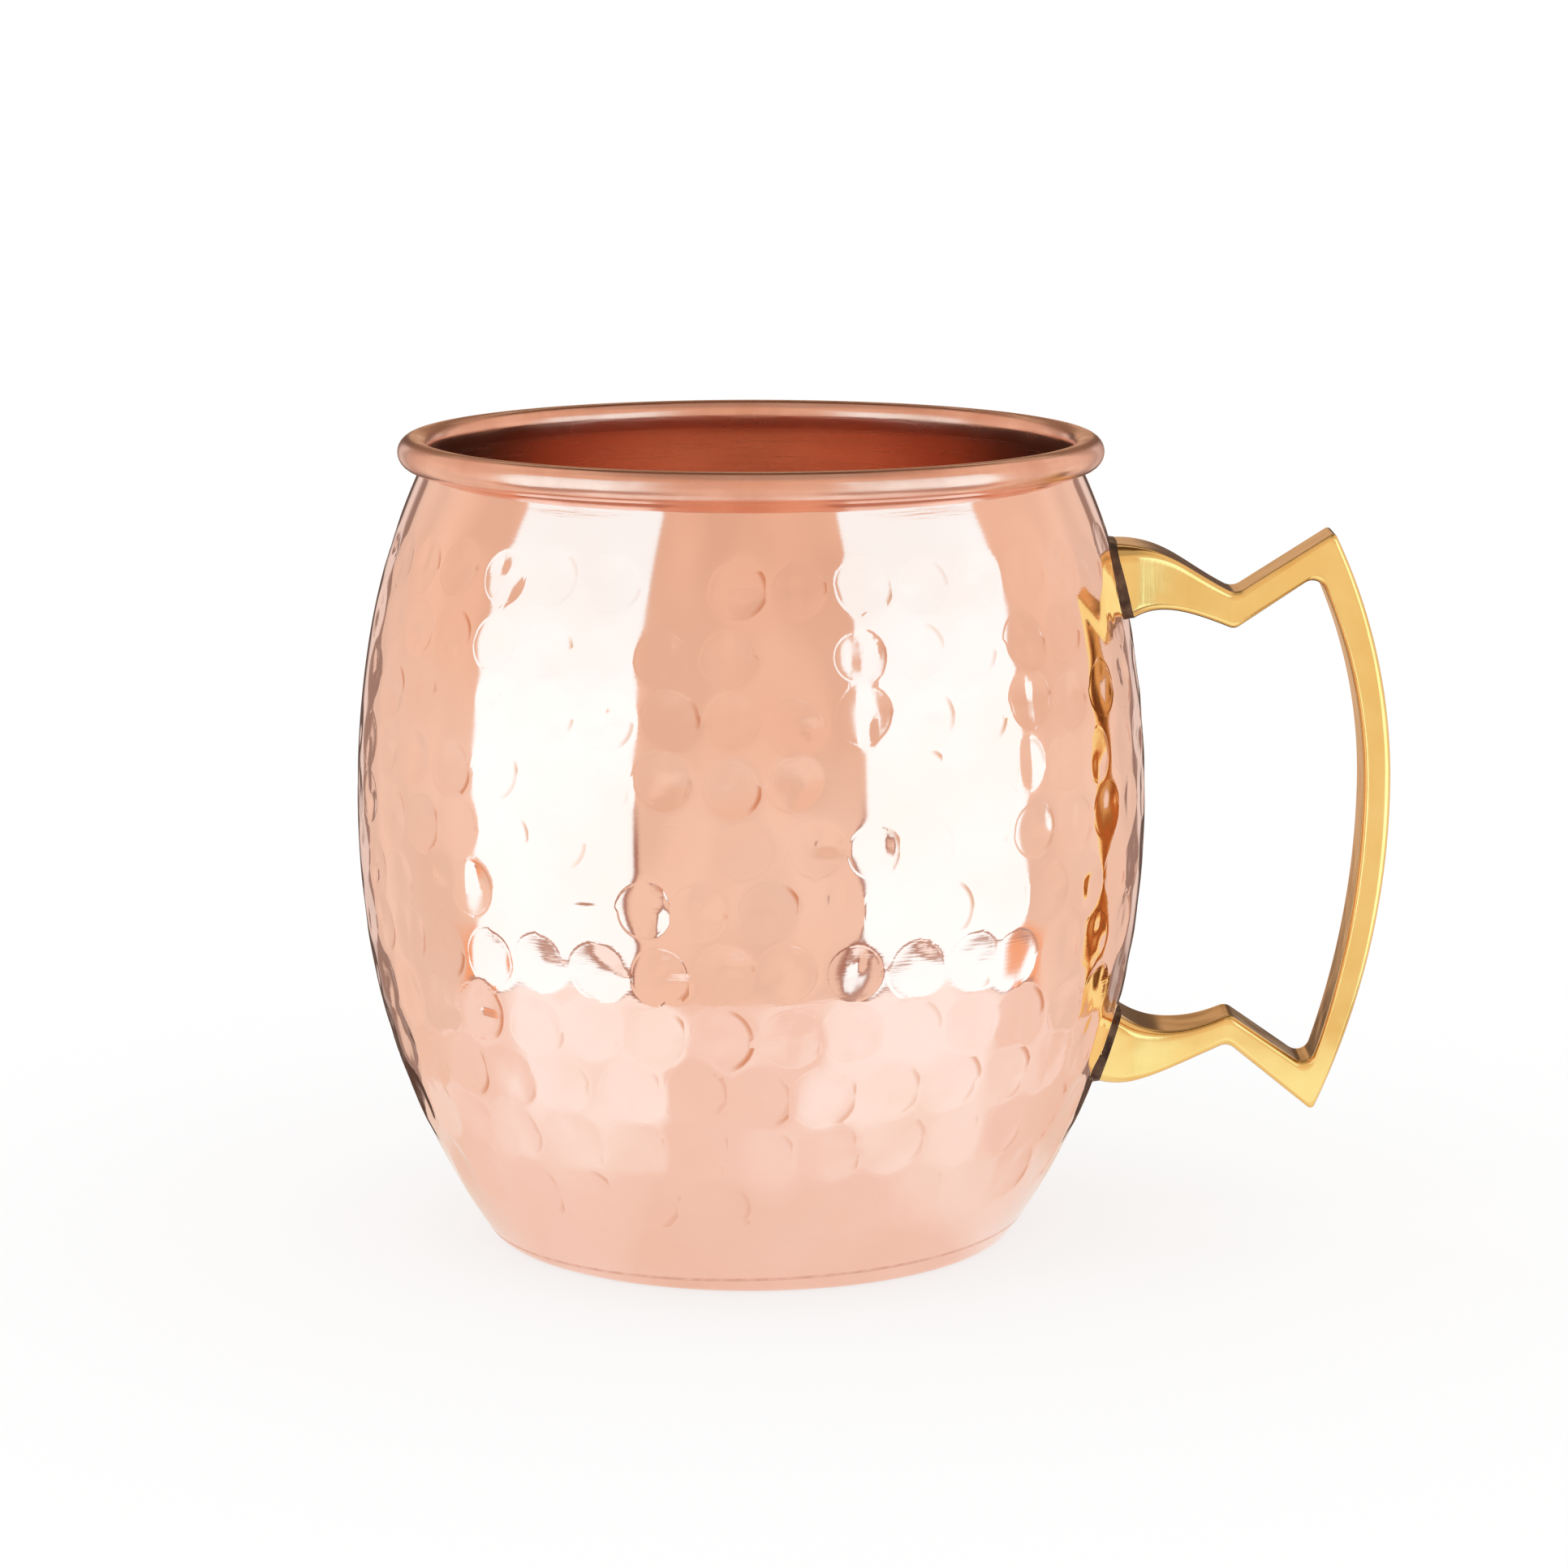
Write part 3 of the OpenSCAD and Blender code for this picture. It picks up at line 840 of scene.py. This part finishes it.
def makeHandleLoops():
    sunk = [handle["sunk"], 0]
    outer, inner = (np.vstack([side[:1] - sunk, side, side[-1:] - sunk]) for side in (outerSide, innerSide))
    loops = []
    small = handle["edgeRound"]
    for number, (top, under) in enumerate(zip(outer, inner)):
        middle = (top + under) / 2
        near = 1 - np.clip((middle[0] - (bellyReach - 6)) / handle["crownEnds"], 0, 1)
        near = near * near * (3 - 2 * near)
        if number < len(outer) / 2:
            outRound = (small + (handle["crownTall"] - small) * near,
                        small + (handle["crownWide"] - small) * near)
            inRound = (small + 0.3 * near, small + 0.8 * near)
        else:
            outRound = (small + 0.5 * near, small + 1.2 * near)
            inRound = (small + (handle["lowerCrownTall"] - small) * near,
                       small + (handle["lowerCrownWide"] - small) * near)
        loops.append(stationLoop(top, under, outRound, inRound))
    loops = trimToBarrel(np.array(loops))
    return trimToBarrel(loops[::-1])[::-1]


handleLoops = makeHandleLoops()
gripHandle = gridMesh("gripHandle", handleLoops,
                      firstPole=handleLoops[0].mean(axis=0), lastPole=handleLoops[-1].mean(axis=0))
finishPiece(gripHandle, "handle", 42, castBrass)
print("handle made:", len(gripHandle.data.vertices), "points")


# Handle braze: a thin lumpy line where each root meets the barrel

braze = {
    "spread": 0.12,
    "sunk": 0.35,
    "lump": 0.3,
    "fillet": 6,
    "proud": 0.03,
    "heelOut": 0.12,
    "heelUp": 0.15,
    "under": 0.6,
}


def makeBraze(name, loops, seed):
    first = loops[0]
    count = len(first)
    middle = first.mean(axis=0)
    angle = np.arctan2(first[:, 2] - middle[2], first[:, 1] - middle[1])
    lump = 1 + braze["lump"] * (
        0.5 * np.sin(3 * angle + seed) + 0.35 * np.sin(7 * angle + 2.3 * seed)
        + 0.25 * np.sin(13 * angle + seed))
    before, after = np.roll(first, 1, axis=0), np.roll(first, -1, axis=0)
    run = after - before
    out = np.stack([np.zeros(count), run[:, 2], -run[:, 1]], axis=-1)
    out /= np.linalg.norm(out, axis=1)[:, None]
    if np.sum(out * (first - middle)) < 0:
        out = -out

    def seat(points, above):
        height = points[:, 2]
        reach = barrelReach(height, above)
        x = np.sqrt(np.maximum(reach ** 2 - points[:, 1] ** 2, 1))
        return np.stack([x, points[:, 1], height], axis=-1)

    spread = (braze["spread"] * lump)[:, None]
    foot = seat(first + out * spread, 0.0)
    top = first + out * braze["proud"]
    heel = seat(first + out * braze["heelOut"], braze["heelUp"])
    rows = [seat(first + out * (spread + 0.1), -braze["sunk"])]
    for step in range(braze["fillet"] + 1):
        t = step / braze["fillet"]
        rows.append((1 - t) ** 2 * foot + 2 * t * (1 - t) * heel + t * t * top)
    rows.append(top - out * 0.25)
    for above in (0.3, -braze["sunk"]):
        rows.append(seat(first - out * braze["under"], above))
    return gridMesh(name, np.array(rows), closedRows=True)


upperBraze = makeBraze("upperRootBraze", handleLoops, 1.3)
lowerBraze = makeBraze("lowerRootBraze", handleLoops[::-1], 3.1)
for piece, node in ((upperBraze, "upper_handle_braze"), (lowerBraze, "lower_handle_braze")):
    finishPiece(piece, node, 70, handleBraze)
print("braze made")


# Studio: a white table in a plain warm room, with a tall soft box on each side of the camera. The room is a
# glowing shell, painted with the light and shade that the metal mirrors.

studio = {
    "tableSide": 108.0,
    "tableDeep": 75.0,
    "tableMiddle": -40.0,
    "tableSquare": 2.6,
    "floorWhite": 0.92,
    "floorEven": 0.7,
    "tableEven": 0.84,
    "roomReach": 1600.0,
    "boxInner": 32.5,
    "boxOuter": 86.0,
    "mottle": 26.0,
    "mottleShade": 0.34,
    "ceiling": "#C2B4A8",
    "foldSize": 420.0,
    "foldShade": 0.05,
    "boxTop": 43.2,
    "boxSlant": 0.225,
    "boxBottom": -22.4,
    "boxLight": (1.06, 1.5, 1.76),
    "poolLight": (1.13, 1.34, 1.45, 1),
    "sideLight": (0.94, 0.8, 0.68, 1),
    "tableColour": (1.0, 0.955, 0.92, 1),
    "tableGloss": 0.08,
    "worldLight": 1.12,
    "floorReach": 30000.0,
    "slabSteps": 160,
    "roomRows": 45,
    "roomColumns": 96,
    "lens": 110.23,
    "cameraPlace": (0.0039, -0.5656, 0.1566),
    "cameraDown": 10.282,
}


# A flat sheet with rounded corners: 2 is an ellipse, and more is squarer
def slabPiece(name, side, deep, middle, square, height):
    steps = studio["slabSteps"]
    angle = np.arange(steps) * 2 * math.pi / steps
    across = np.sign(np.cos(angle)) * np.abs(np.cos(angle)) ** (2 / square)
    along = np.sign(np.sin(angle)) * np.abs(np.sin(angle)) ** (2 / square)
    ring = np.stack([side * across, middle + deep * along, np.full(steps, height)], axis=-1)
    return gridMesh(name, np.array([ring * [0.5, 0.5, 1], ring]), firstPole=[0, 0, height])


# How far round from the front a place is, the same to left and right: 0 in front and 1 behind
def roundFromFront(add, place):
    parts = add("SeparateXYZ", {"Vector": place})
    side = add("Math", {0: parts.outputs["X"]}, operation="ABSOLUTE")
    ahead = add("Math", {0: parts.outputs["Y"], 1: -1.0}, operation="MULTIPLY")
    turn = add("Math", {0: side, 1: ahead}, operation="ARCTAN2")
    return add("Math", {0: turn, 1: math.pi}, operation="DIVIDE")


# Stops in degrees, each with how fully something shows there
def greyStops(stops):
    return [(at / 180, (shown, shown, shown, 1)) for at, shown in stops]


def makeFloorMaterial(name, gloss, pools, plain, evenLight):
    material, add = newMaterial(name)
    place = add("TexCoord").outputs["Object"]
    grain = add("TexNoise", {"Vector": place, "Scale": 40.0, "Detail": 2.0})
    tone = add("MapRange", {
        "Value": grain, "To Min": studio["floorWhite"] - 0.004, "To Max": studio["floorWhite"]})
    matt = add("BsdfDiffuse", {"Color": tone})
    # Each soft box throws a pool of light on the table, in front of it and clear of the mug's foot
    share = roundFromFront(add, place)
    pool = add("ValToRGB", {"Fac": share})
    setStops(pool, greyStops((
        (0, 0.16), (13, 0.12), (21, 0.95), (45, 1.0), (56, 0.9), (68, 0.1), (95, 0), (180, 0))))
    reach = add("VectorMath", {0: place}, operation="LENGTH")
    clear = add("MapRange", {
        "Value": reach, "From Min": 0.03, "From Max": 0.07}, interpolation_type="SMOOTHSTEP")
    spill = add("Math", {0: pool, 1: clear}, operation="MULTIPLY")
    # The painted pools of light are unevenly bright
    uneven = add("TexNoise", {"Vector": place, "Scale": 1000 / studio["mottle"], "Detail": 0.5})
    shaded = add("MapRange", {
        "Value": uneven, "From Min": 0.36, "From Max": 0.64,
        "To Min": -studio["mottleShade"], "To Max": studio["mottleShade"]})
    mottled = add("Math", {0: spill, 1: shaded}, operation="ADD")
    amount = add("Math", {0: mottled, 1: pools}, operation="MULTIPLY")
    # Painted warmer, dimmer light on the table out to either side
    aside = add("MapRange", {"Value": share, "From Min": 66 / 180, "From Max": 100 / 180, "To Max": pools})
    warm = add("MixRGB", {0: aside, 1: plain, 2: studio["sideLight"]})
    light = add("MixRGB", {0: amount, 1: warm, 2: studio["poolLight"]})
    lit = add("Emission", {"Color": light, "Strength": 1.0})
    even = add("MixShader", {0: evenLight, 1: matt, 2: lit})
    shine = add("BsdfAnisotropic", {"Roughness": 0.28, "Color": (1, 1, 1, 1)})
    surface = add("MixShader", {0: gloss, 1: even, 2: shine})
    add("OutputMaterial", {"Surface": surface})
    return material


# Parts of the glowing room, each painted with a light or shade of its own. The stops say how fully each part
# shows, in degrees round from the front, the same on both sides, and in degrees up from straight below.
everywhere = ((0, 1), (180, 1))
towardsBack = ((0, 0), (146, 0), (158, 1), (180, 1))
boxIn, boxOut = studio["boxInner"], studio["boxOuter"]
boxFoot = 90 + studio["boxBottom"]
# The ceiling is painted shade overhead
ceilingPart = ((studio["ceiling"], everywhere, ((0, 0), (148, 0), (160, 1), (180, 1))),)
roomParts = (
    # A warm glow low down at both sides
    ("#FFC9A0", ((0, 0), (82, 0), (87, 1), (94, 1), (98, 0), (180, 0)),
     ((0, 1), (71, 1), (75, 0), (180, 0))),
    # The back, with painted shade overhead and low down, and one painted strip of light
    ("#8E7058", towardsBack, ((0, 0), (103, 0), (107, 1), (150, 1), (165, 0), (180, 0))),
    ("#5C4434", towardsBack, ((0, 0), (112, 0), (122, 1), (150, 1), (160, 0), (180, 0))),
    ("#F2E2C6", towardsBack, ((0, 0), (120, 0), (122, 1), (127, 1), (129, 0), (180, 0))),
    ("#5A463C", ((0, 0), (150, 0), (156, 1), (180, 1)), ((0, 1), (72, 1), (78, 0), (180, 0))),
    # Painted shade below the boxes, and beside the lower half of each
    ("#C4ACA2", ((0, 0), (boxIn - 3, 0), (boxIn - 2, 1), (boxOut + 6, 1), (boxOut + 9, 0), (180, 0)),
     ((0, 1), (boxFoot + 1, 1), (boxFoot + 2, 0), (180, 0))),
    ("#B08A7C", ((0, 0), (boxIn - 1.6, 0), (boxIn - 1.2, 1), (boxIn + 2, 1), (boxIn + 3, 0), (180, 0)),
     ((0, 1), (84, 1), (90, 0), (180, 0))),
)


def paintParts(add, colour, ways, parts):
    for shade, *reaches in parts:
        shown = []
        for way, stops in zip(ways, reaches):
            ramp = add("ValToRGB", {"Fac": way})
            setStops(ramp, greyStops(stops))
            shown.append(ramp)
        amount = add("Math", {0: shown[0], 1: shown[1]}, operation="MULTIPLY")
        colour = add("MixRGB", {0: amount, 1: colour, 2: hexColour(shade)})
    return colour


def makeRoomMaterial():
    material, add = newMaterial("warmRoom")
    place = add("TexCoord").outputs["Object"]
    parts = add("SeparateXYZ", {"Vector": place})
    share = roundFromFront(add, place)
    # The walls glow in bands of painted light, with painted shade in the darker bands towards the back
    walls = add("ValToRGB", {"Fac": share})
    setStops(walls, [(at / 180, hexColour(colour)) for at, colour in (
        (0, "#F3DFCE"), (88, "#F3E0CF"), (122, "#F9EADD"), (128, "#F6E6D8"), (145, "#EEDCCE"),
        (146, "#A08A80"), (151, "#A48F86"), (154, "#F0E2DA"), (160, "#E6D6CE"), (163, "#66544C"),
        (170, "#66544C"), (172, "#D0AC8E"), (180, "#DAB89A"))])
    level = add("Math", {0: parts.outputs["Z"], 1: studio["roomReach"] * 0.001}, operation="DIVIDE")
    rise = add("Math", {0: level}, operation="ARCSINE")
    degrees = add("Math", {0: rise}, operation="DEGREES")
    height = add("MapRange", {"Value": degrees, "From Min": -90.0, "From Max": 90.0})

    # Paler low down in front, and warmer high up
    lower = add("MapRange", {"Value": degrees, "From Min": 9.0, "From Max": -4.0})
    front = add("ValToRGB", {"Fac": share})
    setStops(front, greyStops(((0, 1), (120, 1), (140, 0), (180, 0))))
    pale = add("Math", {0: lower, 1: front}, operation="MULTIPLY")
    upper = add("MapRange", {"Value": degrees, "From Min": 14.0, "From Max": 45.0, "To Max": 0.7})
    colour = walls
    for amount, shade in ((pale, "#F8EEE3"), (upper, "#EED5C2")):
        colour = add("MixRGB", {0: amount, 1: colour, 2: hexColour(shade)})
    # Painted shade on the ceiling, then painted shade and light in soft folds over the whole room
    colour = paintParts(add, colour, (share, height), ceilingPart)
    folds = add("TexNoise", {"Vector": place, "Scale": 1000 / studio["foldSize"], "Detail": 0.5})
    shaded = add("MapRange", {
        "Value": folds, "From Min": 0.36, "From Max": 0.64,
        "To Min": 1 - studio["foldShade"], "To Max": 1 + studio["foldShade"]})
    folded = add("VectorMath", {0: colour, "Scale": shaded}, operation="SCALE")
    colour = paintParts(add, folded, (share, height), roomParts)

    # The soft boxes: upright sides, level feet, and tops that slope down away from the front
    shown = []
    for way, stops in (
            (share, ((0, 0), (boxIn, 0), (boxIn + 0.5, 1), (boxOut - 0.5, 1), (boxOut, 0), (180, 0))),
            (height, ((0, 0), (boxFoot, 0), (boxFoot + 0.5, 1), (180, 1)))):
        ramp = add("ValToRGB", {"Fac": way})
        setStops(ramp, greyStops(stops))
        shown.append(ramp)
    slanted = add("Math", {0: share, 1: 180 * studio["boxSlant"], 2: degrees}, operation="MULTIPLY_ADD")
    top = studio["boxTop"] + boxIn * studio["boxSlant"]
    topEdge = add("MapRange", {"Value": slanted, "From Min": top, "From Max": top - 0.7})
    tall = add("Math", {0: shown[1], 1: topEdge}, operation="MULTIPLY")
    box = add("Math", {0: shown[0], 1: tall}, operation="MULTIPLY")
    lit = add("MapRange", {
        "Value": degrees, "From Min": 30.0, "From Max": 5.0, "To Min": 1.0, "To Max": 1.1})
    boxColour = add("VectorMath", {0: studio["boxLight"], "Scale": lit}, operation="SCALE")
    colour = add("MixRGB", {0: box, 1: colour, 2: boxColour})
    glow = add("Emission", {"Color": colour, "Strength": 1.0})
    add("OutputMaterial", {"Surface": glow})
    material.cycles.emission_sampling = "NONE"
    return material


floor = slabPiece("whiteFloor", studio["floorReach"], studio["floorReach"], 0.0, 2.0, -0.02)
floor.data.materials.append(makeFloorMaterial("whiteFloor", 0.0, 0.0, (1, 1, 1, 1), studio["floorEven"]))
floor.visible_glossy = False
table = slabPiece(
    "tableTop", studio["tableSide"], studio["tableDeep"], studio["tableMiddle"],
    studio["tableSquare"], -0.01)
table.data.materials.append(makeFloorMaterial(
    "whiteTable", studio["tableGloss"], 1.0, studio["tableColour"], studio["tableEven"]))

angles = np.radians(np.linspace(-88, 88, studio["roomRows"]))[:, None]
around = np.arange(studio["roomColumns"])[None, :] * 2 * math.pi / studio["roomColumns"]
roomGlobe = np.stack([
    np.cos(angles) * np.cos(around), np.cos(angles) * np.sin(around),
    np.sin(angles) * np.ones_like(around)], axis=-1)
roomPole = np.array([0, 0, studio["roomReach"]])
room = gridMesh("roomShell", studio["roomReach"] * roomGlobe, firstPole=-roomPole, lastPole=roomPole)
room.data.materials.append(makeRoomMaterial())
# The table and the room are there only for the metal to mirror
for piece in (table, room):
    piece.visible_camera = False
    piece.visible_diffuse = False
    piece.visible_shadow = False

world = bpy.data.worlds.new("studioAir")
world.use_nodes = True
world.node_tree.nodes.clear()
addAir = partial(addNode, world.node_tree)
air = addAir("Background", {"Color": (1, 1, 1, 1), "Strength": studio["worldLight"]})
addAir("OutputWorld", {"Surface": air})
bpy.context.scene.world = world
bpy.context.scene.view_settings.view_transform = "Standard"

lens = bpy.data.cameras.new("mugCamera")
lens.lens = studio["lens"]
lens.sensor_width = 36
lens.clip_end = 100
camera = bpy.data.objects.new("mugCamera", lens)
camera.location = studio["cameraPlace"]
camera.rotation_euler = (math.radians(90 - studio["cameraDown"]), 0, 0)
bpy.context.scene.collection.objects.link(camera)
bpy.context.scene.camera = camera
print("studio ready")
